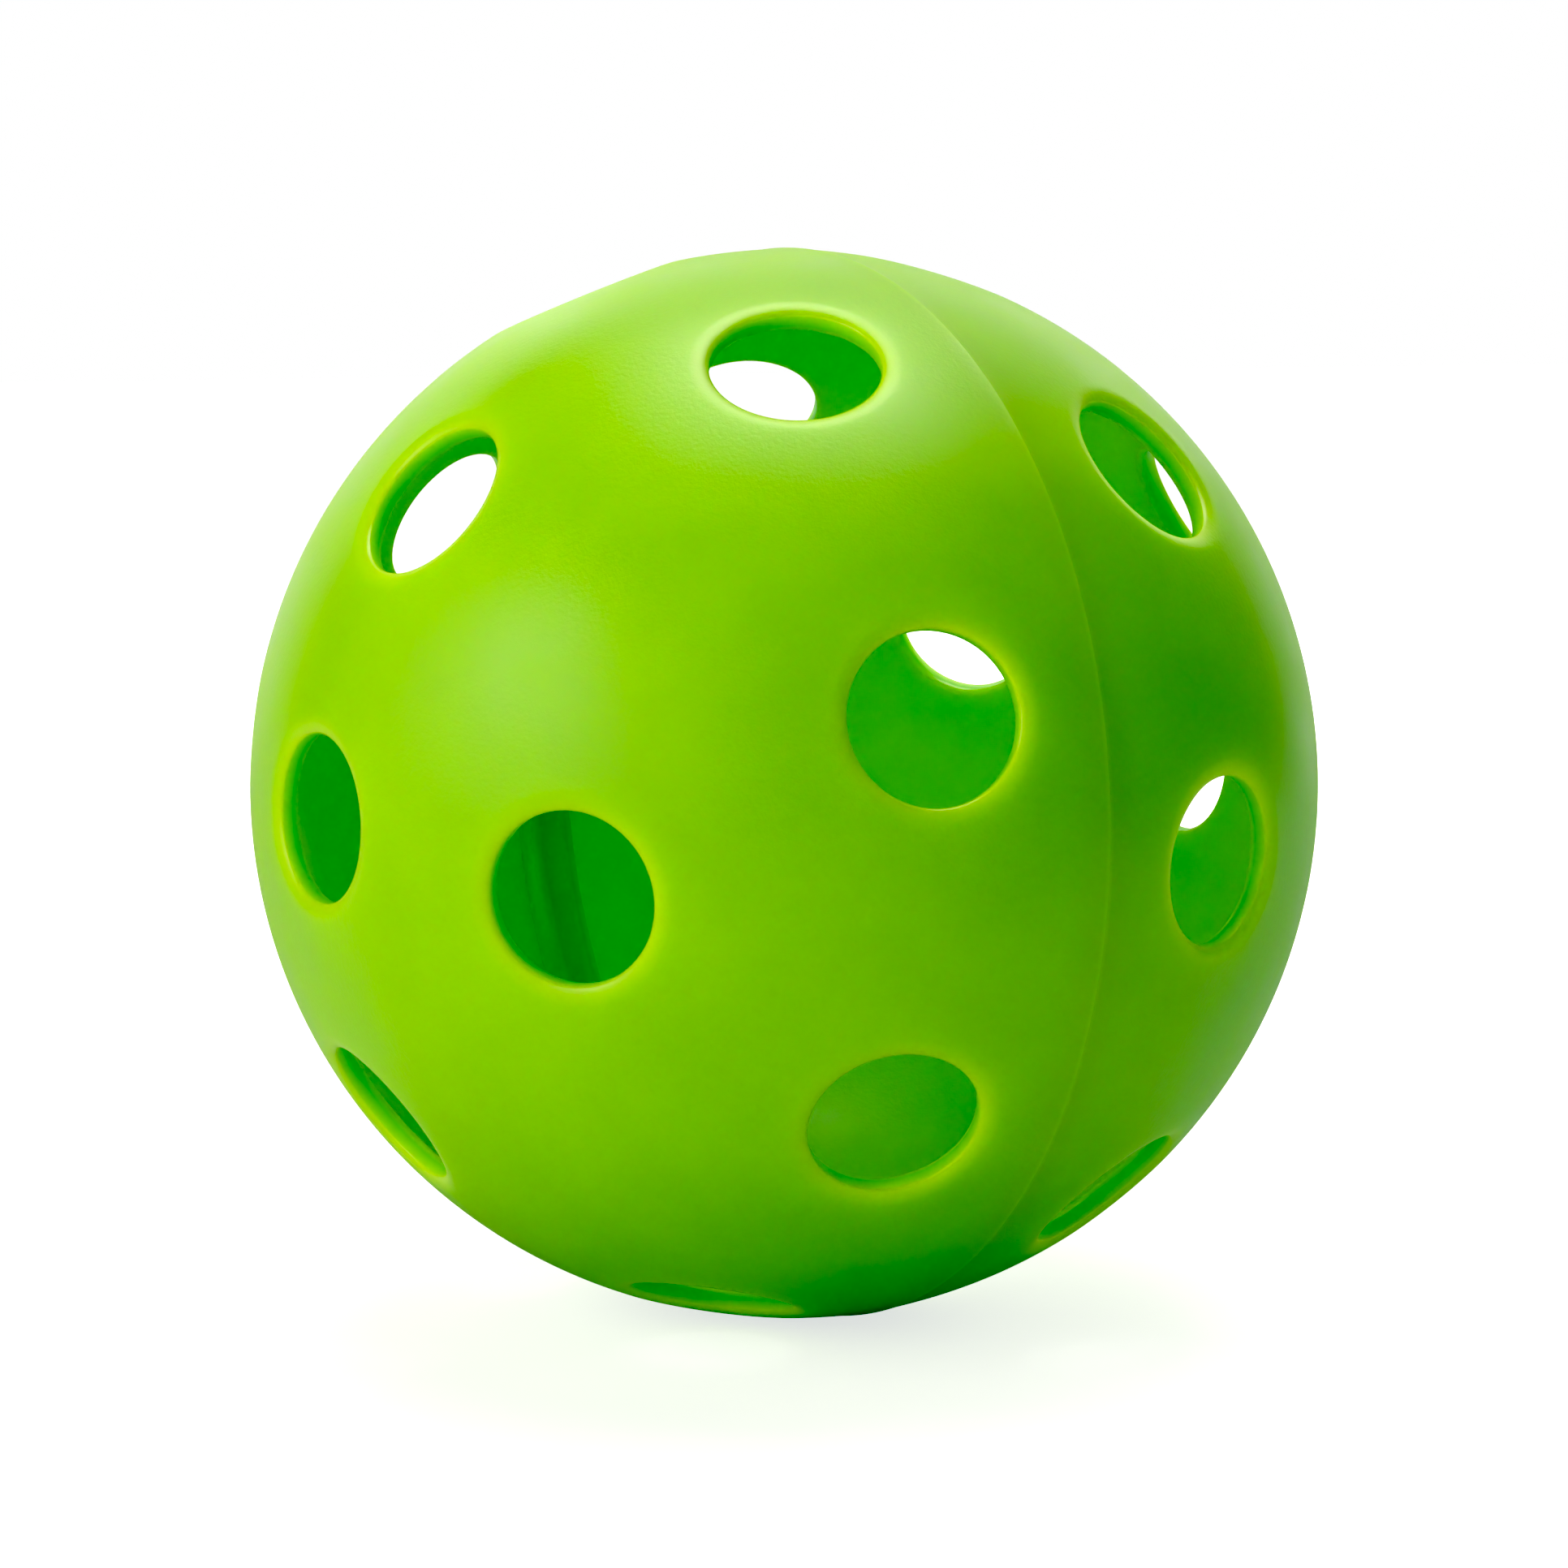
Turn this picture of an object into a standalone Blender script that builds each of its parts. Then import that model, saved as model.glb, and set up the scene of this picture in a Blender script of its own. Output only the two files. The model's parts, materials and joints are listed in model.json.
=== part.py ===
"""Hollow practice ball: two moulded half shells with round holes, welded together at the equator.

Metres, +Z up. The origin is the centre of the ball. The axis through the two pole holes lies along X,
and the weld lies in the plane x = 0.
"""

from math import asin, atan2, cos, pi, radians, sin, sqrt

import bmesh
import bpy
from mathutils import Matrix

# Driving dimensions of the moulding. Both half shells come out of the same mould.
BALL_DIAMETER = 0.072
WALL = 0.0017
HOLE_DIAMETER = 0.0108
OUTER_EDGE_RADIUS = 0.00035
INNER_EDGE_RADIUS = 0.0003

# Places of the hole rings, measured along the outer surface to the centres of the holes.
POLE_TO_RING_1 = 0.02228
WELD_TO_RING_2 = 0.01113
RING_1_HOLES = 4
RING_2_HOLES = 8

# How far each half is turned about the pole axis before it is welded.
LEFT_CLOCK = radians(-31.6)
RIGHT_CLOCK = radians(4.05)

# The weld: the gap between the two faces, and the double bead that rolls back onto the inner wall.
WELD_GAP = 0.0003
ROLL_RADIUS = 0.0007
ROLL_OVERLAP = 0.0001
BEAD_CLEARANCE = 0.0003

# Facets
AROUND_STEPS = 44
MERIDIAN_STEPS = 10
HOLE_STEPS = 20
OUTER_EDGE_STEPS = 2
INNER_EDGE_STEPS = 2
ROLL_STEPS = 4
SHARP_ANGLE = radians(40)
MERGE_DISTANCE = 1e-6

# Finish
LEFT_GREEN = (0.29, 0.62, 0.0, 1.0)
RIGHT_GREEN = (0.24, 0.56, 0.0, 1.0)
WELD_GREEN = (0.20, 0.52, 0.0, 1.0)
SATIN = 0.42

# Sizes that follow from the ones above
OUTER_RADIUS = BALL_DIAMETER / 2
INNER_RADIUS = OUTER_RADIUS - WALL
HOLE_RADIUS = HOLE_DIAMETER / 2
RING_1_ANGLE = POLE_TO_RING_1 / OUTER_RADIUS
RING_2_ANGLE = pi / 2 - WELD_TO_RING_2 / OUTER_RADIUS


def clear_scene():
    for obj in list(bpy.data.objects):
        bpy.data.objects.remove(obj, do_unlink=True)


def plastic(name, colour):
    material = bpy.data.materials.new(name)
    material.use_nodes = True
    shader = material.node_tree.nodes["Principled BSDF"]
    shader.inputs["Base Color"].default_value = colour
    shader.inputs["Roughness"].default_value = SATIN
    shader.inputs["Metallic"].default_value = 0.0
    return material


def arc(centre, radius, start, end, steps):
    """Points of an arc in a half plane, each as (distance from the axis, height)."""
    points = []
    for step in range(steps + 1):
        angle = start + (end - start) * step / steps
        points.append((centre[0] + radius * cos(angle), centre[1] + radius * sin(angle)))
    return points


def turned(name, profile, steps, closed=False):
    """A mesh turned about Z from a profile of (distance from the axis, height)."""
    bm = bmesh.new()
    verts = [bm.verts.new((reach, 0.0, height)) for reach, height in profile]
    edges = [bm.edges.new(pair) for pair in zip(verts, verts[1:])]
    if closed:
        edges.append(bm.edges.new((verts[-1], verts[0])))
    bmesh.ops.spin(
        bm,
        geom=verts + edges,
        cent=(0.0, 0.0, 0.0),
        axis=(0.0, 0.0, 1.0),
        angle=2 * pi,
        steps=steps,
        use_merge=True,
    )
    bmesh.ops.remove_doubles(bm, verts=bm.verts, dist=MERGE_DISTANCE)
    bmesh.ops.recalc_face_normals(bm, faces=bm.faces)
    mesh = bpy.data.meshes.new(name)
    bm.to_mesh(mesh)
    bm.free()
    return mesh


def blank_mesh():
    """Half of the hollow sphere, with its pole at +Z and its flat weld face half a weld gap above z = 0."""
    face_height = WELD_GAP / 2
    outer = arc((0.0, 0.0), OUTER_RADIUS, pi / 2, asin(face_height / OUTER_RADIUS), MERIDIAN_STEPS)
    inner = arc((0.0, 0.0), INNER_RADIUS, asin(face_height / INNER_RADIUS), pi / 2, MERIDIAN_STEPS)
    return turned("half_shell_blank", outer + inner, AROUND_STEPS)


def past(start, end):
    """The point as far beyond end as start lies before it."""
    return (2 * end[0] - start[0], 2 * end[1] - start[1])


def hole_cutter_mesh():
    """The space of one hole along Z, with the flares that round its two edges.

    Each round is tangent to the hole and to a wall of the shell. Its last facet runs on through that
    wall, so the cutter crosses the wall at a clear angle.
    """
    reach = HOLE_RADIUS + OUTER_EDGE_RADIUS
    height = sqrt((OUTER_RADIUS - OUTER_EDGE_RADIUS) ** 2 - reach**2)
    outer = arc((reach, height), OUTER_EDGE_RADIUS, pi, atan2(height, reach), OUTER_EDGE_STEPS)
    outer.append(past(outer[-2], outer[-1]))

    reach = HOLE_RADIUS + INNER_EDGE_RADIUS
    height = sqrt((INNER_RADIUS + INNER_EDGE_RADIUS) ** 2 - reach**2)
    inner = arc((reach, height), INNER_EDGE_RADIUS, pi + atan2(height, reach), pi, INNER_EDGE_STEPS)
    inner.insert(0, past(inner[1], inner[0]))

    top = (0.0, OUTER_RADIUS + WALL)
    bottom = (0.0, inner[0][1] - WALL)
    rim = (outer[-1][0], top[1])
    foot = (inner[0][0], bottom[1])
    return turned("hole_cutter", [bottom, foot] + inner + outer + [rim, top], HOLE_STEPS)


def hole_directions():
    """The turn that takes +Z to each hole: the pole, then ring 1 and ring 2.

    Ring 1 stands half a pitch of ring 2 away from it.
    """
    turns = [Matrix.Identity(4)]
    stagger = pi / RING_2_HOLES
    rings = ((RING_1_HOLES, RING_1_ANGLE, stagger), (RING_2_HOLES, RING_2_ANGLE, 0.0))
    for count, tilt, first in rings:
        for index in range(count):
            clock = first + 2 * pi * index / count
            turns.append(Matrix.Rotation(clock, 4, "Z") @ Matrix.Rotation(tilt, 4, "Y"))
    return turns


def half_shell_mesh():
    """The moulding: the blank with all of its holes cut."""
    cutter_mesh = hole_cutter_mesh()
    cutters = bpy.data.collections.new("hole_cutters")
    bpy.context.scene.collection.children.link(cutters)
    for turn in hole_directions():
        cutter = bpy.data.objects.new("hole_cutter", cutter_mesh)
        cutter.matrix_world = turn
        cutters.objects.link(cutter)

    blank = bpy.data.objects.new("half_shell_blank", blank_mesh())
    bpy.context.scene.collection.objects.link(blank)
    cut = blank.modifiers.new("holes", "BOOLEAN")
    cut.operation = "DIFFERENCE"
    cut.solver = "EXACT"
    cut.operand_type = "COLLECTION"
    cut.collection = cutters

    graph = bpy.context.evaluated_depsgraph_get()
    mesh = bpy.data.meshes.new_from_object(blank.evaluated_get(graph))
    mesh.name = "half_shell"
    mesh.shade_smooth()
    mesh.set_sharp_from_angle(angle=SHARP_ANGLE)
    for helper in [blank] + list(cutters.objects):
        bpy.data.objects.remove(helper, do_unlink=True)
    bpy.data.collections.remove(cutters)
    return mesh


def weld_bead_mesh():
    """The ring of melted plastic inside the weld: two rolls side by side, flat towards the wall."""
    offset = ROLL_RADIUS - ROLL_OVERLAP / 2
    half_width = offset + ROLL_RADIUS
    back = sqrt(INNER_RADIUS**2 - half_width**2) - BEAD_CLEARANCE
    groove = asin(offset / ROLL_RADIUS)
    lower = arc((back, -offset), ROLL_RADIUS, 3 * pi / 2, pi - groove, ROLL_STEPS)
    upper = arc((back, offset), ROLL_RADIUS, pi + groove, pi / 2, ROLL_STEPS)
    mesh = turned("weld_bead", lower + upper[1:], AROUND_STEPS, closed=True)
    mesh.shade_smooth()
    mesh.set_sharp_from_angle(angle=SHARP_ANGLE)
    return mesh


def place(name, mesh, material, tilt, clock):
    """Turns a piece about its own pole, then lays the pole along X."""
    obj = bpy.data.objects.new(name, mesh)
    bpy.context.scene.collection.objects.link(obj)
    obj.matrix_world = Matrix.Rotation(tilt, 4, "Y") @ Matrix.Rotation(clock, 4, "Z")
    if not mesh.materials:
        mesh.materials.append(material)
    slot = obj.material_slots[0]
    slot.link = "OBJECT"
    slot.material = material
    return obj


def main():
    clear_scene()
    moulding = half_shell_mesh()
    place("left_half_shell", moulding, plastic("left_half_green", LEFT_GREEN), -pi / 2, LEFT_CLOCK)
    place("right_half_shell", moulding, plastic("right_half_green", RIGHT_GREEN), pi / 2, RIGHT_CLOCK)
    place("weld_bead", weld_bead_mesh(), plastic("weld_green", WELD_GREEN), pi / 2, 0.0)


main()
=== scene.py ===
# %% [markdown]
# # A hollow practice ball
# The real ball is two thin half shells of lime green plastic from one mould, each with thirteen round
# holes. Their edges were melted on a hot plate and pressed together, which left a fine line outside and a
# double bead of melted plastic inside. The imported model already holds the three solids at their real
# size, so this lesson loads them as a fixed frame and puts a finer mesh and a finish in the place of each
# one.

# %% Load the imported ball
import json
from math import atan2, cos, exp, pi, radians, sin, sqrt

import bmesh
import bpy
from mathutils import Matrix, Vector, noise


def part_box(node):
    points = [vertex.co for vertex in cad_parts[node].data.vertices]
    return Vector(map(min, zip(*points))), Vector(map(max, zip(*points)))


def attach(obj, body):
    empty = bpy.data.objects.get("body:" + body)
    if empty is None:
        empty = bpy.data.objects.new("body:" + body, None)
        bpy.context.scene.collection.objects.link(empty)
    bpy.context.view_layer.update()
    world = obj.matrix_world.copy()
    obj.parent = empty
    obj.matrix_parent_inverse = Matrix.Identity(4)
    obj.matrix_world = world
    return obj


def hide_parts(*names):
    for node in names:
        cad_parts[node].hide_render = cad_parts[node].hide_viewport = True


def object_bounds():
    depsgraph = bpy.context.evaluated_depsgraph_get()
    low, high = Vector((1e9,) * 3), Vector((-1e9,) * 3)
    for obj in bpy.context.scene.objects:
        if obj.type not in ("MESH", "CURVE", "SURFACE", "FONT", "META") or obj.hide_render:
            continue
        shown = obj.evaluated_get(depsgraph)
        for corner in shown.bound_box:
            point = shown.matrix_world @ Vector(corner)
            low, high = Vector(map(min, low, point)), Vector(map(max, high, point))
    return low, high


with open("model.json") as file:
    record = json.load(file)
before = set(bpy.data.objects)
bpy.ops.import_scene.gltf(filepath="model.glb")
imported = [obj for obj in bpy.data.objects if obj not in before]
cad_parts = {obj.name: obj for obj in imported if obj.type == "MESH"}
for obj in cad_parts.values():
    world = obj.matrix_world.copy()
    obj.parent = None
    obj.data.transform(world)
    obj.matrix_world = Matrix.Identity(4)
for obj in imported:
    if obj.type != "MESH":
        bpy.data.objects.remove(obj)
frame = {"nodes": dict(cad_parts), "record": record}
cad_low, cad_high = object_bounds()
print("nodes:", sorted(frame["nodes"]))

# %% [markdown]
# ## Sizes
# The ball's radius comes from the frame, and so do the directions of the holes: the record states every
# hole as an opening, with a box whose middle lies on the hole's axis. The wall and the holes have the
# mould's own sizes. The edges of the holes are softer than in the solids, because the light in the
# photograph shows them so. The seam stands a little proud of the ball, so the skin lies that much below
# the frame's radius, and the highest point of the seam just reaches it.

# %% Sizes from the frame and the mould
MM = 0.001
WALL = 1.7 * MM
HOLE_RADIUS = 5.4 * MM
OUTER_EDGE = 0.9 * MM
OUTER_EDGE_DROP = 0.35 * MM
INNER_EDGE = 0.6 * MM
SEAM_RISE = 0.16 * MM
SEAM_SPREAD = 2.0 * MM
LIP_SHARE = 0.3
LIP_SPREAD = 0.35 * MM

shell_low, shell_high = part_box("left_half_shell")
BALL_RADIUS = (shell_high.z - shell_low.z) / 2
SKIN_RADIUS = BALL_RADIUS - SEAM_RISE
INNER_RADIUS = SKIN_RADIUS - WALL


def hole_axes(half):
    """Unit directions from the ball's centre to the holes of one half."""
    axes = []
    for opening in frame["record"]["physics"]["openings"]:
        if opening["name"].startswith(half + "_"):
            low, high = opening["box_m"]
            axes.append((Vector(low) + Vector(high)).normalized())
    return axes


print("skin radius mm:", round(SKIN_RADIUS / MM, 3))
print("holes:", len(hole_axes("left")), "left and", len(hole_axes("right")), "right")

# %% [markdown]
# ## The section through a hole's edge
# The outer skin eases into each hole over nearly a millimetre. Then comes a short straight wall, and a
# small round at the inside. In section that is a quarter of a flat ellipse, a straight line and an arc.
# The ellipse starts where its slope is the skin's own, so no hard line shows where it begins. A bevel
# would do much the same on a tidy grid, but it trips on the irregular triangles that a cut leaves, so the
# section is worked out once and every hole follows it.

# %% Profile of a hole's edge
OUTER_EDGE_STEPS = 9
INNER_EDGE_STEPS = 6
SLOPE_PASSES = 8


def arc(centre, radius, start, end, steps):
    """Points on an arc, each as (reach from the axis, height along it)."""
    points = []
    for step in range(steps + 1):
        angle = start + (end - start) * step / steps
        points.append((centre[0] + radius * cos(angle), centre[1] + radius * sin(angle)))
    return points


def eased_edge():
    """A quarter of an ellipse from the outer skin into the hole. Each pass brings its start nearer to the
    place where its slope is the skin's."""
    start = pi / 2
    for _ in range(SLOPE_PASSES):
        reach = HOLE_RADIUS + OUTER_EDGE * (1.0 + cos(start))
        height = sqrt(SKIN_RADIUS**2 - reach**2)
        start = atan2(OUTER_EDGE_DROP * height, OUTER_EDGE * reach)
    middle = height - OUTER_EDGE_DROP * sin(start)
    unit = arc((0.0, 0.0), 1.0, start, pi, OUTER_EDGE_STEPS)
    return [(HOLE_RADIUS + OUTER_EDGE * (1.0 + x), middle + OUTER_EDGE_DROP * y) for x, y in unit]


def hole_profile():
    """The section from the outer skin, down the wall of the hole, to the inner skin."""
    outer = eased_edge()
    reach = HOLE_RADIUS + INNER_EDGE
    height = sqrt((INNER_RADIUS + INNER_EDGE) ** 2 - reach**2)
    inner = arc((reach, height), INNER_EDGE, pi, pi + atan2(height, reach), INNER_EDGE_STEPS)
    return outer + inner


HOLE_PROFILE = hole_profile()
RIM_REACH = HOLE_PROFILE[0][0]
RIM_ANGLE = atan2(*HOLE_PROFILE[0])
print("rows down a hole:", len(HOLE_PROFILE), "rim reach mm:", round(RIM_REACH / MM, 3))

# %% [markdown]
# ## The section through the weld's edge
# Where the halves meet, each one ends in a flat face square to its skin. Outside, the squeezed plastic
# makes the skin swell gently towards the joint, with a fine lip at the very edge. The swelling is a sixth
# of a millimetre high, too little to see as a shape, but it turns the light, which is why the seam shows
# on the real ball as a pale side and a darker one. It could be a ring of its own laid over the joint. A
# height that depends on the distance from the weld leaves no edge to hide, and every point near the weld
# follows it.

# %% Profile of the weld's edge
WELD_GAP = 0.0003 * MM


def seam_rise(x):
    """How far the skin stands proud at a distance from the weld: a broad swelling with a fine lip on it."""
    swelling = (1.0 - LIP_SHARE) * exp(-abs(x) / SEAM_SPREAD)
    lip = LIP_SHARE * exp(-abs(x) / LIP_SPREAD)
    return SEAM_RISE * (swelling + lip)


def weld_profile():
    """Rows of (distance from the weld plane, radius), as many as a hole has."""
    last = len(HOLE_PROFILE) - 1
    thickness = WALL + SEAM_RISE
    return [(WELD_GAP, INNER_RADIUS + thickness * (last - row) / last) for row in range(last + 1)]


WELD_PROFILE = weld_profile()
print("rows down the weld:", len(WELD_PROFILE))

# %% [markdown]
# ## A half shell
# A plane cuts a sphere in a circle, so the quickest clean way to a perforated half is to start from a
# fine icosphere and bisect it: once at the weld, and once for every hole. Solidify then gives the wall
# its thickness and closes each edge with a ring of faces. Those rings are subdivided into rows, and the
# rows are laid on the two sections above. A Boolean would give the same holes, but with a ragged fan of
# triangles round each.

# %% Cut the skin
SPHERE_LEVEL = 7
SNAP = 0.12 * MM


def cut_away(bm, point, normal, snap):
    """Removes what lies beyond a plane. Points nearer to it than the snap distance become its edge."""
    geom = bm.verts[:] + bm.edges[:] + bm.faces[:]
    bmesh.ops.bisect_plane(bm, geom=geom, dist=snap, plane_co=point, plane_no=normal, clear_outer=True)


def cut_skin(side, axes):
    """The outer skin of one half, as an open sheet. The side is -1 for left and 1 for right."""
    bm = bmesh.new()
    bmesh.ops.create_icosphere(bm, subdivisions=SPHERE_LEVEL, radius=SKIN_RADIUS)
    cut_away(bm, (0.0, 0.0, 0.0), (-side, 0.0, 0.0), SNAP)
    for axis in axes:
        cut_away(bm, axis * SKIN_RADIUS * cos(RIM_ANGLE), axis, SNAP * sin(RIM_ANGLE))
    print("skin: faces", len(bm.faces), "with", len(axes), "holes")
    return bm


# %% Thicken it and shape its edges
def nearest_axis(point, axes):
    """The hole that lies nearest to a point."""
    return max(axes, key=point.dot)


def on_hole(point, axis, row):
    """A point of a hole's edge, kept at its own place round the hole and laid on the section."""
    reach, height = HOLE_PROFILE[row]
    out = (point - axis * point.dot(axis)).normalized()
    return out * reach + axis * height


def on_weld(point, side, row):
    """A point of the weld's edge, kept at its own place round the ball and laid on the section."""
    x, radius = WELD_PROFILE[row]
    out = Vector((0.0, point.y, point.z)).normalized() * radius
    out.x = side * x
    return out


def thicken(bm, side, axes):
    """Adds the inner skin and shapes the rows of faces at the holes and at the weld."""
    last_row = len(HOLE_PROFILE) - 1
    bmesh.ops.solidify(bm, geom=bm.faces[:], thickness=WALL)
    depth = bm.verts.layers.float.new("depth")
    edge = bm.verts.layers.float.new("edge")
    middle = (SKIN_RADIUS + INNER_RADIUS) / 2
    for vert in bm.verts:
        vert[depth] = float(vert.co.length < middle)
    rungs = [e for e in bm.edges if e.verts[0][depth] != e.verts[1][depth]]
    for rung in rungs:
        for vert in rung.verts:
            vert[edge] = 1.0
    bmesh.ops.subdivide_edges(bm, edges=rungs, cuts=last_row - 1, use_grid_fill=True)
    for vert in bm.verts:
        row = round(vert[depth] * last_row)
        if not vert[edge]:
            skin = SKIN_RADIUS + seam_rise(vert.co.x) if row == 0 else INNER_RADIUS
            vert.co = vert.co.normalized() * skin
        elif abs(vert.co.x) < WALL:
            vert.co = on_weld(vert.co, side, row)
        else:
            vert.co = on_hole(vert.co, nearest_axis(vert.co, axes), row)
    bm.verts.layers.float.remove(edge)
    print("wall: rungs", len(rungs), "faces", len(bm.faces))


# %% [markdown]
# ## Where each point lies
# The colour of the plastic is painted differently from place to place: a painted glow along a hole, painted
# shade down inside it, a yellower green on the inner wall for the light inside the ball, and a painted
# highlight at the weld. A painted map could say where, but it would need an unwrapped mesh. Here the mesh
# keeps four values on every point, and the finish reads them. Depth is 0 on the outer skin and 1 on the
# inner one. Bore is 1 halfway down a hole. Glow is 1 at a hole's edge and joint is 1 at the weld, and both
# fade away from there.

# %% Measure where each point lies
GLOW_REACH = 1.0 * MM
INNER_GLOW_REACH = 1.6 * MM
JOINT_REACH = 3.0 * MM
INNER_JOINT_REACH = 2.2 * MM


def swell(share):
    """A smooth rise from 0 to 1, and down again as the share goes on to 2."""
    return (1.0 - cos(pi * share)) / 2


def mark_points(bm, axes):
    """Keeps on every point how near a hole and how deep in one it lies, and how near the weld."""
    glow = bm.verts.layers.float.new("glow")
    bore = bm.verts.layers.float.new("bore")
    joint = bm.verts.layers.float.new("joint")
    depth = bm.verts.layers.float["depth"]
    top, bottom = HOLE_PROFILE[0][1], HOLE_PROFILE[-1][1]
    for vert in bm.verts:
        axis = nearest_axis(vert.co, axes)
        height = vert.co.dot(axis)
        reach = (vert.co - axis * height).length
        along = (top - height) / (top - bottom) if 0.0 < vert[depth] < 1.0 else 0.0
        vert[bore] = swell(2 * along) if reach < RIM_REACH else 0.0
        glow_reach = GLOW_REACH + (INNER_GLOW_REACH - GLOW_REACH) * vert[depth]
        vert[glow] = exp(-max(0.0, reach - HOLE_RADIUS) / glow_reach) * (1.0 - vert[bore])
        joint_reach = JOINT_REACH + (INNER_JOINT_REACH - JOINT_REACH) * vert[depth]
        vert[joint] = max(0.0, 1.0 - abs(vert.co.x) / joint_reach)
    print("points marked:", len(bm.verts))


# %% Make both halves
SHARP_ANGLE = radians(40.0)
CM3 = 1e-6


def finished(name, bm, node):
    """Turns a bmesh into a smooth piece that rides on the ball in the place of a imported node."""
    mesh = bpy.data.meshes.new(name)
    bm.to_mesh(mesh)
    bm.free()
    mesh.shade_smooth()
    mesh.set_sharp_from_angle(angle=SHARP_ANGLE)
    piece = bpy.data.objects.new(name, mesh)
    bpy.context.scene.collection.objects.link(piece)
    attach(piece, "root")
    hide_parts(node)
    return piece


def half_shell(half, side):
    axes = hole_axes(half)
    bm = cut_skin(side, axes)
    thicken(bm, side, axes)
    mark_points(bm, axes)
    open_edges = sum(not e.is_manifold for e in bm.edges)
    print(half, "half: open edges", open_edges, "volume cm3", round(bm.calc_volume() / CM3, 2))
    return finished(half + "_shell", bm, half + "_half_shell")


left_shell = half_shell("left", -1)
right_shell = half_shell("right", 1)

# %% [markdown]
# ## The weld bead
# Pressing the two hot edges together squeezes plastic out to the inside, where it curls back on both
# sides as a pair of soft rolls with a groove between them. A torus for each roll would leave faces buried
# where they meet. So one section is drawn from smooth rises, flat towards the wall, with the left roll a
# little higher, and spun about the ball's pole axis. A slow noise makes the melt a little uneven.
#
# On the real ball, light goes through the wall and on into the bead. Here scattered light can't pass from
# one mesh into another, and the wall would look dark wherever the bead covers it. So the bead is left out
# of bounced light and throws no shadow.

# %% Spin the bead
BEAD_HALF_WIDTH = 2.2 * MM
BEAD_SHIFT = 0.7 * MM
ROLL_OFFSET = 1.05 * MM
LEFT_ROLL = 0.6 * MM
RIGHT_ROLL = 0.5 * MM
GROOVE_HEIGHT = 0.3 * MM
GROOVE_SHADE_WIDTH = 1.1 * MM
BEAD_SINK = 0.015 * MM
BEAD_RIM = 0.02 * MM
BEAD_STEPS = 40
RING_STEPS = 220
MERGE_DISTANCE = 0.0001 * MM
MELT_WAVE = 0.05 * MM
MELT_PITCH = 4.0 * MM
BEAD_SEAT = INNER_RADIUS + BEAD_SINK


def bead_height(x):
    """How far the bead stands off the wall at a distance from its groove."""
    roll = LEFT_ROLL if x < 0.0 else RIGHT_ROLL
    reach = abs(x)
    if reach < ROLL_OFFSET:
        return GROOVE_HEIGHT + (roll - GROOVE_HEIGHT) * swell(reach / ROLL_OFFSET)
    slope = (BEAD_HALF_WIDTH - reach) / (BEAD_HALF_WIDTH - ROLL_OFFSET)
    return BEAD_RIM + (roll - BEAD_RIM) * swell(slope)


def bead_section(bm):
    """The closed outline of the bead in the plane y = 0: its back on the wall, and its front."""
    steps = range(BEAD_STEPS + 1)
    places = [BEAD_SHIFT + BEAD_HALF_WIDTH * (2 * step / BEAD_STEPS - 1) for step in steps]
    wall = [sqrt(BEAD_SEAT**2 - x**2) for x in places]
    back = [bm.verts.new((x, 0.0, z)) for x, z in zip(places, wall)]
    front = [bm.verts.new((x, 0.0, z - bead_height(x - BEAD_SHIFT))) for x, z in zip(places, wall)]
    outline = front + back[::-1]
    for pair in zip(outline, outline[1:] + outline[:1]):
        bm.edges.new(pair)


def weld_bead():
    bm = bmesh.new()
    bead_section(bm)
    bmesh.ops.spin(
        bm,
        geom=bm.verts[:] + bm.edges[:],
        cent=(0.0, 0.0, 0.0),
        axis=(1.0, 0.0, 0.0),
        angle=2 * pi,
        steps=RING_STEPS,
        use_merge=True,
    )
    bmesh.ops.remove_doubles(bm, verts=bm.verts, dist=MERGE_DISTANCE)
    bmesh.ops.recalc_face_normals(bm, faces=bm.faces)
    # Painted shade: the groove, where the melt is thickest, is coloured darker.
    groove_shade = bm.verts.layers.float.new("groove_shade")
    for vert in bm.verts:
        vert[groove_shade] = exp(-(((vert.co.x - BEAD_SHIFT) / GROOVE_SHADE_WIDTH) ** 2))
        out = Vector((0.0, vert.co.y, vert.co.z)).normalized()
        share = (BEAD_SEAT - vert.co.length) / LEFT_ROLL
        vert.co -= out * share * MELT_WAVE * noise.noise(vert.co / MELT_PITCH)
    print("bead: faces", len(bm.faces), "volume cm3", round(bm.calc_volume() / CM3, 3))
    return finished("inner_weld_bead", bm, "weld_bead")


bead = weld_bead()
bead.visible_diffuse = False
bead.visible_shadow = False

# %% [markdown]
# ## Moulded grain
# The mould's surface was blasted, so the plastic has a fine grain about a third of a millimetre across,
# which breaks the highlights into soft speckles. Real bumps that small would need millions of faces, so
# bump stands for them. It is a node group because the shells and the bead both use it, each with its own
# size of grain. It puts out a height for bump, and a slow mottle for colour and gloss.

# %% Build the grain group
GRAIN_DETAIL = 3.0
GRAIN_HARSHNESS = 0.6
MOTTLE_SCALE = 140.0
MOTTLE_DETAIL = 4.0
MOTTLE_HARSHNESS = 0.55


def feed(tree, socket, value):
    """Sets a socket to a value, or links it to an output."""
    if isinstance(value, bpy.types.NodeSocket):
        tree.links.new(value, socket)
    else:
        socket.default_value = value


def node(tree, kind, **inputs):
    """A new node with some of its inputs set or linked."""
    made = tree.nodes.new(kind)
    for name, value in inputs.items():
        feed(tree, made.inputs[name.replace("_", " ")], value)
    return made


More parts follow.
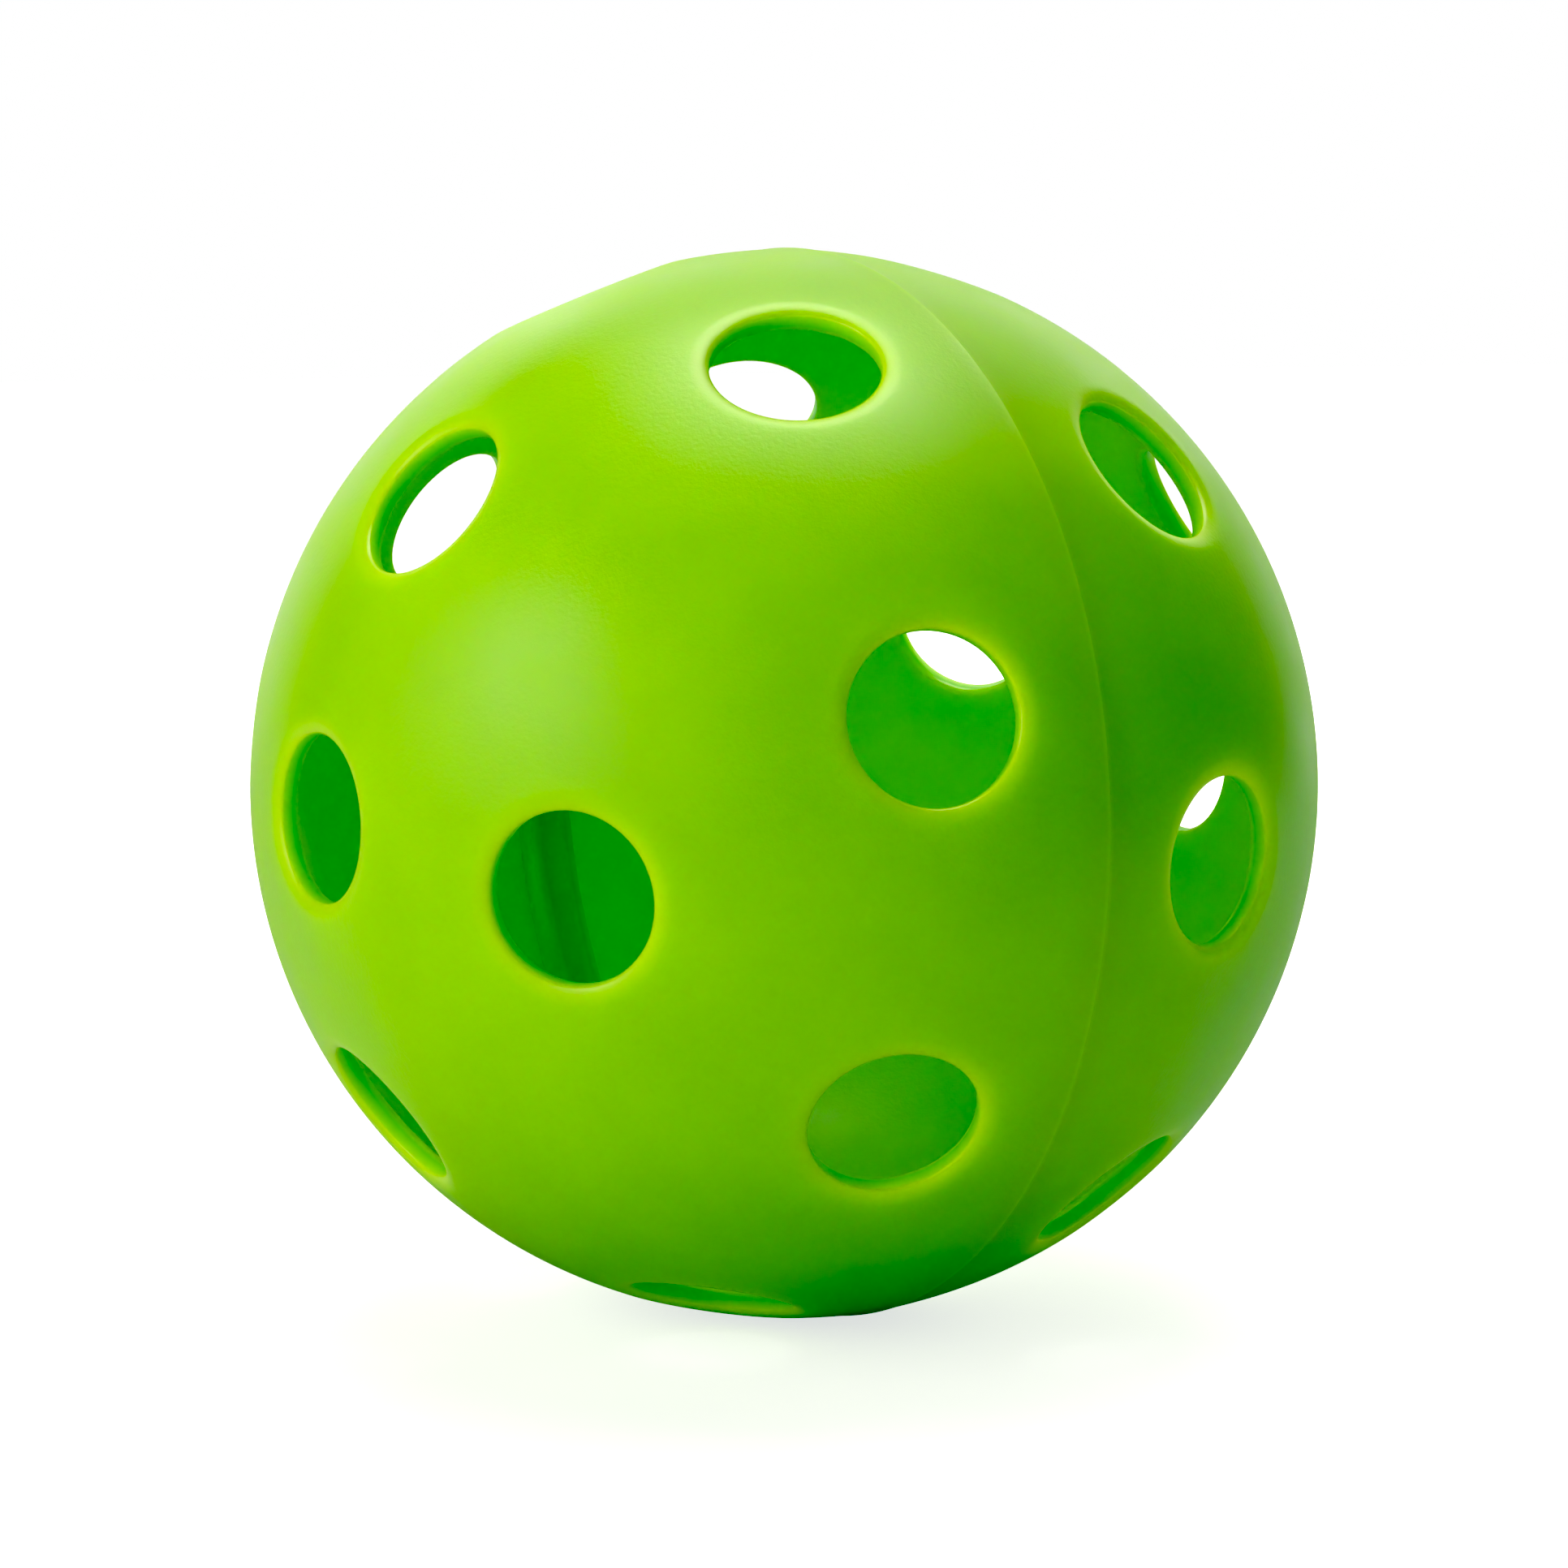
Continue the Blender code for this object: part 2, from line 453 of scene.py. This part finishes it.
def grain_group():
    tree = bpy.data.node_groups.new("moulded_grain", "ShaderNodeTree")
    tree.interface.new_socket("Vector", in_out="INPUT", socket_type="NodeSocketVector")
    tree.interface.new_socket("Grain Scale", in_out="INPUT", socket_type="NodeSocketFloat")
    tree.interface.new_socket("Height", in_out="OUTPUT", socket_type="NodeSocketFloat")
    tree.interface.new_socket("Mottle", in_out="OUTPUT", socket_type="NodeSocketFloat")
    source = tree.nodes.new("NodeGroupInput").outputs
    result = tree.nodes.new("NodeGroupOutput").inputs
    grain = node(tree, "ShaderNodeTexNoise", Vector=source["Vector"], Scale=source["Grain Scale"])
    grain.inputs["Detail"].default_value = GRAIN_DETAIL
    grain.inputs["Roughness"].default_value = GRAIN_HARSHNESS
    mottle = node(tree, "ShaderNodeTexNoise", Vector=source["Vector"], Scale=MOTTLE_SCALE)
    mottle.inputs["Detail"].default_value = MOTTLE_DETAIL
    mottle.inputs["Roughness"].default_value = MOTTLE_HARSHNESS
    feed(tree, result["Height"], grain.outputs["Fac"])
    feed(tree, result["Mottle"], mottle.outputs["Fac"])
    return tree


GRAIN = grain_group()
print("group sockets:", [item.name for item in GRAIN.interface.items_tree])

# %% [markdown]
# ## Lime green plastic
# The plastic is pigmented but not opaque. Light soaks into the wall, and what comes through it or bounces
# about inside turns a deep, pure green. A plain coloured surface with a little transparency could be
# tried, but only subsurface scattering softens the shading as the real wall does. The colours are mixed
# by the values that the mesh keeps on its points.
#
# The real wall also leads light along to its edges, further than the scattering here does, so a painted
# glow makes the colour brighter and yellower along the holes, and the skin has a faint light of its own
# there.
# Scattered light can't pass from one half to the other either, so the soaking fades towards the weld. A
# thin painted highlight runs along the joint. The inner wall is the same plastic, painted a yellower green
# for the light inside the ball, and a little glossier than the outside. Down in the holes a deeper green
# paints shade.

# %% Helpers that join values and colours
COLOUR_FACTOR, COLOUR_FIRST, COLOUR_SECOND, COLOUR_RESULT = 0, 6, 7, 2
GLOSS_SPAN = (0.35, 0.65)
SHADE_SPAN = (0.3, 0.7)


def mixed(tree, factor, first, second, blend="MIX"):
    """The colour output of a Mix node, found by number because its sockets share their names."""
    mix = tree.nodes.new("ShaderNodeMix")
    mix.data_type = "RGBA"
    mix.blend_type = blend
    feed(tree, mix.inputs[COLOUR_FACTOR], factor)
    feed(tree, mix.inputs[COLOUR_FIRST], first)
    feed(tree, mix.inputs[COLOUR_SECOND], second)
    return mix.outputs[COLOUR_RESULT]


def ranged(tree, value, low, high, to_low, to_high):
    """A value carried from one range to another."""
    span = node(tree, "ShaderNodeMapRange", Value=value, From_Min=low, From_Max=high)
    feed(tree, span.inputs["To Min"], to_low)
    feed(tree, span.inputs["To Max"], to_high)
    return span.outputs["Result"]


def attribute(tree, name):
    """A value that the mesh keeps on its points."""
    source = tree.nodes.new("ShaderNodeAttribute")
    source.attribute_name = name
    return source.outputs["Fac"]


def gloss(tree, mottle, roughness):
    """A roughness that follows the mottle from its first value to its second."""
    return ranged(tree, mottle, *GLOSS_SPAN, *roughness)


def shaded(tree, colour, mottle, shades):
    """A colour that the mottle makes a little darker here and lighter there."""
    return mixed(tree, 1.0, colour, ranged(tree, mottle, *SHADE_SPAN, *shades), "MULTIPLY")


# %% Start a grained plastic
SCATTER = (1.7, 2.4, 0.1)
SHEEN_LEVEL = 0.9


def plastic(name, soaking):
    """A plastic with no colour yet. Soaking is how far light goes in it, and 0 makes it opaque."""
    material = bpy.data.materials.new(name)
    material.use_nodes = True
    shader = material.node_tree.nodes["Principled BSDF"]
    shader.inputs["Subsurface Weight"].default_value = float(soaking > 0.0)
    shader.inputs["Subsurface Radius"].default_value = SCATTER
    shader.inputs["Subsurface Scale"].default_value = soaking
    shader.inputs["Specular IOR Level"].default_value = SHEEN_LEVEL
    return material


def grained(tree, scale, height):
    """Adds the grain to a plastic as bump. Returns the mottle that goes with it."""
    place = tree.nodes.new("ShaderNodeTexCoord")
    grain = tree.nodes.new("ShaderNodeGroup")
    grain.node_tree = GRAIN
    feed(tree, grain.inputs["Vector"], place.outputs["Object"])
    feed(tree, grain.inputs["Grain Scale"], scale)
    bump = node(tree, "ShaderNodeBump", Strength=1.0, Distance=height, Height=grain.outputs["Height"])
    feed(tree, tree.nodes["Principled BSDF"].inputs["Normal"], bump.outputs["Normal"])
    return grain.outputs["Mottle"]


# %% Mix the lime plastic
OUTER_GREEN = (0.48, 0.82, 0.0, 1.0)
# Painted light: the inner wall is the same plastic, coloured a yellower green for the light inside the
# ball.
INNER_PAINTED_LIGHT_GREEN = (0.685, 0.92, 0.0, 1.0)
# Painted glow: a brighter, yellower green along the holes, for light that the real wall leads to its edges.
# It is also the colour of the painted highlight at the weld.
PAINTED_LIGHT_GREEN = (0.57, 0.98, 0.0, 1.0)
PAINTED_GLOW_SHARE = 0.25
# Painted shade: a deeper green down in each hole, where its wall lies in shade.
BORE_SHADE_GREEN = (0.36, 0.84, 0.0, 1.0)
EDGE_LIGHT = (0.058, 0.095, 0.0, 1.0)
NO_LIGHT = (0.0, 0.0, 0.0, 1.0)
# Painted highlight: a thin pale line along the weld, where the seam's edge catches light.
SEAM_LINE = 0.3 * MM
SEAM_PAINTED_HIGHLIGHT = 0.4
SOAKING = 1.0 * MM
JOINT_SOAKING = 0.01 * MM
LIME_ROUGHNESS = (0.36, 0.45)
INNER_ROUGHNESS = (0.29, 0.35)
LIME_SHADES = (0.97, 1.03)
LIME_GRAIN_SCALE = 2600.0
LIME_GRAIN_HEIGHT = 0.016 * MM


def weld_distance(tree):
    """How far a point lies from the plane of the weld."""
    place = tree.nodes.new("ShaderNodeTexCoord")
    parts = node(tree, "ShaderNodeSeparateXYZ", Vector=place.outputs["Object"])
    size = tree.nodes.new("ShaderNodeMath")
    size.operation = "ABSOLUTE"
    feed(tree, size.inputs[0], parts.outputs["X"])
    return size.outputs["Value"]


def lime_colour(tree, mottle):
    """The greens, with painted light and shade: light on the inner wall, shade down the bores, a glow round
    the holes and a highlight along the weld.
    """
    painted_glow = ranged(tree, attribute(tree, "glow"), 0.0, 1.0, 0.0, PAINTED_GLOW_SHARE)
    seam_highlight = ranged(tree, weld_distance(tree), 0.0, SEAM_LINE, SEAM_PAINTED_HIGHLIGHT, 0.0)
    # Painted light on the inner wall.
    colour = mixed(tree, attribute(tree, "depth"), OUTER_GREEN, INNER_PAINTED_LIGHT_GREEN)
    # Painted shade down the bores.
    colour = mixed(tree, attribute(tree, "bore"), colour, BORE_SHADE_GREEN)
    # Painted glow round the holes.
    colour = mixed(tree, painted_glow, colour, PAINTED_LIGHT_GREEN)
    # Painted highlight along the weld.
    colour = mixed(tree, seam_highlight, colour, PAINTED_LIGHT_GREEN)
    return shaded(tree, colour, mottle, LIME_SHADES)


def lime_gloss(tree, mottle):
    """A satin outside and a glossier inner wall."""
    outer = gloss(tree, mottle, LIME_ROUGHNESS)
    inner = gloss(tree, mottle, INNER_ROUGHNESS)
    return ranged(tree, attribute(tree, "depth"), 0.0, 1.0, outer, inner)


def edge_light(tree):
    """The faint light along the holes, on the outer skin alone."""
    light = mixed(tree, attribute(tree, "glow"), NO_LIGHT, EDGE_LIGHT)
    return mixed(tree, attribute(tree, "depth"), light, NO_LIGHT)


def lime_plastic():
    material = plastic("lime_satin_plastic", SOAKING)
    tree = material.node_tree
    shader = tree.nodes["Principled BSDF"]
    mottle = grained(tree, LIME_GRAIN_SCALE, LIME_GRAIN_HEIGHT)
    soaking = ranged(tree, attribute(tree, "joint"), 0.0, 1.0, SOAKING, JOINT_SOAKING)
    feed(tree, shader.inputs["Base Color"], lime_colour(tree, mottle))
    feed(tree, shader.inputs["Roughness"], lime_gloss(tree, mottle))
    feed(tree, shader.inputs["Emission Color"], edge_light(tree))
    feed(tree, shader.inputs["Emission Strength"], 1.0)
    feed(tree, shader.inputs["Subsurface Scale"], soaking)
    return material


LIME = lime_plastic()
for shell in (left_shell, right_shell):
    shell.data.materials.append(LIME)
print("plastic:", LIME.name, "nodes", len(LIME.node_tree.nodes))

# %% [markdown]
# ## Remelted plastic
# The bead is the same plastic, but it set in the open air instead of against the mould, so it is smoother
# and glossier than the wall beside it. Its groove is painted darker, as shade where the melt is thickest
# and lets the least light through. It could share the wall's finish, but then its fine grain would hide the
# gloss that sets it apart. It is opaque, so that it draws no dark line where its thin rim meets the wall.

# %% Mix the remelted plastic
MELT_GREEN = (0.50, 0.99, 0.0, 1.0)
# Painted shade in the bead's groove.
GROOVE_SHADE_GREEN = (0.42, 0.84, 0.0, 1.0)
MELT_ROUGHNESS = (0.16, 0.24)
MELT_SHADES = (0.96, 1.04)
MELT_GRAIN_SCALE = 900.0
MELT_GRAIN_HEIGHT = 0.02 * MM


def remelted_plastic():
    material = plastic("remelted_plastic", 0.0)
    tree = material.node_tree
    shader = tree.nodes["Principled BSDF"]
    mottle = grained(tree, MELT_GRAIN_SCALE, MELT_GRAIN_HEIGHT)
    # Painted shade in the groove.
    colour = mixed(tree, attribute(tree, "groove_shade"), MELT_GREEN, GROOVE_SHADE_GREEN)
    feed(tree, shader.inputs["Base Color"], shaded(tree, colour, mottle, MELT_SHADES))
    feed(tree, shader.inputs["Roughness"], gloss(tree, mottle, MELT_ROUGHNESS))
    return material


bead.data.materials.append(remelted_plastic())
print("bead finish:", bead.data.materials[0].name)

# %% [markdown]
# ## Camera
# The photograph was taken a little from above and from the left half's side. A camera can be set by eye,
# but this one's angle and distance were found by fitting the outlines of the holes, so the render lines
# up with the photograph.

# %% Aim the camera
CAMERA_AZIMUTH = -33.37
CAMERA_ELEVATION = 6.556
CAMERA_DISTANCE = 286.0 * MM
CAMERA_LENS = 97.1


def direction(azimuth, elevation):
    """A unit direction. Azimuth 0 is the front, and it grows towards +X."""
    a, e = radians(azimuth), radians(elevation)
    return Vector((sin(a) * cos(e), -cos(a) * cos(e), sin(e)))


def aimed(obj, azimuth, elevation, distance):
    """Puts a camera or a light out in a direction, facing the ball's centre."""
    back = direction(azimuth, elevation)
    turn = back.to_track_quat("Z", "Y").to_matrix().to_4x4()
    obj.matrix_world = Matrix.Translation(back * distance) @ turn
    bpy.context.scene.collection.objects.link(obj)


camera_data = bpy.data.cameras.new("camera")
camera_data.lens = CAMERA_LENS
camera = bpy.data.objects.new("camera", camera_data)
aimed(camera, CAMERA_AZIMUTH, CAMERA_ELEVATION, CAMERA_DISTANCE)
bpy.context.scene.camera = camera
print("camera mm:", [round(x / MM, 1) for x in camera.matrix_world.translation])

# %% [markdown]
# ## Studio light
# Two things are asked of studio light: what shines on the ball, and what shows in its gloss. A tall
# softbox on the left makes the small highlight, softboxes overhead whiten the top, and panels behind the
# ball make its pale rim and shine in through the holes. A single picture of a studio wrapped round the
# scene could do it too, but separate lamps can be moved and dimmed one by one. Where the photograph has
# light but no reflection, a fill lamp is kept out of the gloss, as a photographer does with a polarising
# filter.
#
# Each row is a lamp: its angle from the camera and its height above the ball's middle, in degrees, then
# its distance, width and height in metres, and its power in watts.

# %% Place the lights
PANELS = {
    "left_softbox": (-57.5, 27.0, 0.60, 0.18, 0.30, 0.45),
    "left_panel": (-40.0, 12.0, 0.60, 0.60, 0.50, 0.87),
    "side_panel": (-85.0, 12.0, 0.60, 0.40, 0.60, 0.59),
    "top_softbox": (180.0, 80.0, 0.60, 0.40, 0.40, 1.62),
    "top_right_softbox": (120.0, 79.0, 0.60, 0.40, 0.40, 0.52),
    "high_back_panel": (170.0, 38.0, 0.60, 0.70, 0.40, 0.69),
    "left_back_panel": (-150.0, 12.0, 0.60, 0.35, 0.50, 0.59),
    "back_panel": (180.0, 12.0, 0.60, 0.35, 0.50, 0.24),
    "right_back_panel": (150.0, 8.0, 0.60, 0.35, 0.50, 0.46),
}
FILLS = {
    "front_fill": (0.0, 10.0, 0.70, 1.00, 0.60, 0.83),
    "left_fill": (-40.0, 8.0, 0.66, 0.66, 0.55, 1.05),
    "right_back_fill": (130.0, 10.0, 0.65, 0.50, 0.50, 1.50),
}


def softbox(name, angle, elevation, distance, width, height, watts):
    data = bpy.data.lights.new(name, "AREA")
    data.shape = "RECTANGLE"
    data.size = width
    data.size_y = height
    data.energy = watts
    lamp = bpy.data.objects.new(name, data)
    lamp.visible_camera = False
    aimed(lamp, CAMERA_AZIMUTH + angle, elevation, distance)
    return lamp


for name, row in PANELS.items():
    softbox(name, *row)
for name, row in FILLS.items():
    softbox(name, *row).visible_glossy = False
print("panels:", len(PANELS), "fills:", len(FILLS))

# %% [markdown]
# ## Developing the picture
# The photograph has deep blacks and strong colour: where the plastic is in shade its little red is gone
# and only green is left. That could be done to each picture afterwards. A raised black level in the
# output, under the plain display transform, develops every view the same way and leaves white as it is.

# %% Set the black level
BLACK_LEVEL = (0.15, 0.087, 0.06)

develop = bpy.context.scene.view_settings
develop.view_transform = "Standard"
develop.use_curve_mapping = True
develop.curve_mapping.black_level = BLACK_LEVEL
develop.curve_mapping.update()
print("black level:", BLACK_LEVEL)

# %% [markdown]
# ## Floor and background
# The ball stands on a pale floor in front of plain white. A floor bright enough to look white would also
# throw light up at the ball. So what the camera sees of the floor and the background is lifted to white,
# a little less close to the ball, so a soft shadow stays under it, and the light that they throw on the
# ball isn't lifted, which keeps its underside in shade.

# %% Lay the floor
FLOOR_SIZE = 6.0
FLOOR_GREY = 0.62
LIFT_NEAR = 0.72
LIFT_FAR = 1.1
LIFT_REACH = 0.25
WHITE = (1.0, 1.0, 1.0, 1.0)


def white_room():
    """A background that is white to the camera and dark to the ball."""
    world = bpy.data.worlds.new("white_room")
    world.use_nodes = True
    tree = world.node_tree
    path = tree.nodes.new("ShaderNodeLightPath")
    sky = tree.nodes["Background"]
    feed(tree, sky.inputs["Color"], WHITE)
    feed(tree, sky.inputs["Strength"], path.outputs["Is Camera Ray"])
    bpy.context.scene.world = world


def seen_lift(tree):
    """How much the floor is lifted for the camera: less near the ball, and nothing for other rays."""
    place = tree.nodes.new("ShaderNodeTexCoord")
    away = tree.nodes.new("ShaderNodeVectorMath")
    away.operation = "LENGTH"
    feed(tree, away.inputs[0], place.outputs["Object"])
    path = tree.nodes.new("ShaderNodeLightPath")
    seen = tree.nodes.new("ShaderNodeMath")
    seen.operation = "MULTIPLY"
    lift = ranged(tree, away.outputs["Value"], -cad_low.z, LIFT_REACH, LIFT_NEAR, LIFT_FAR)
    feed(tree, seen.inputs[0], lift)
    feed(tree, seen.inputs[1], path.outputs["Is Camera Ray"])
    return seen.outputs["Value"]


def floor_material():
    material = bpy.data.materials.new("pale_floor")
    material.use_nodes = True
    tree = material.node_tree
    shader = tree.nodes["Principled BSDF"]
    feed(tree, shader.inputs["Base Color"], (FLOOR_GREY, FLOOR_GREY, FLOOR_GREY, 1.0))
    feed(tree, shader.inputs["Roughness"], 1.0)
    feed(tree, shader.inputs["Specular IOR Level"], 0.0)
    feed(tree, shader.inputs["Emission Color"], WHITE)
    feed(tree, shader.inputs["Emission Strength"], seen_lift(tree))
    return material


def pale_floor():
    bm = bmesh.new()
    bmesh.ops.create_grid(bm, x_segments=1, y_segments=1, size=FLOOR_SIZE / 2)
    bmesh.ops.translate(bm, verts=bm.verts, vec=(0.0, 0.0, cad_low.z))
    mesh = bpy.data.meshes.new("floor")
    bm.to_mesh(mesh)
    bm.free()
    mesh.materials.append(floor_material())
    floor = bpy.data.objects.new("floor", mesh)
    bpy.context.scene.collection.objects.link(floor)


white_room()
pale_floor()
print("floor height mm:", round(cad_low.z / MM, 2))
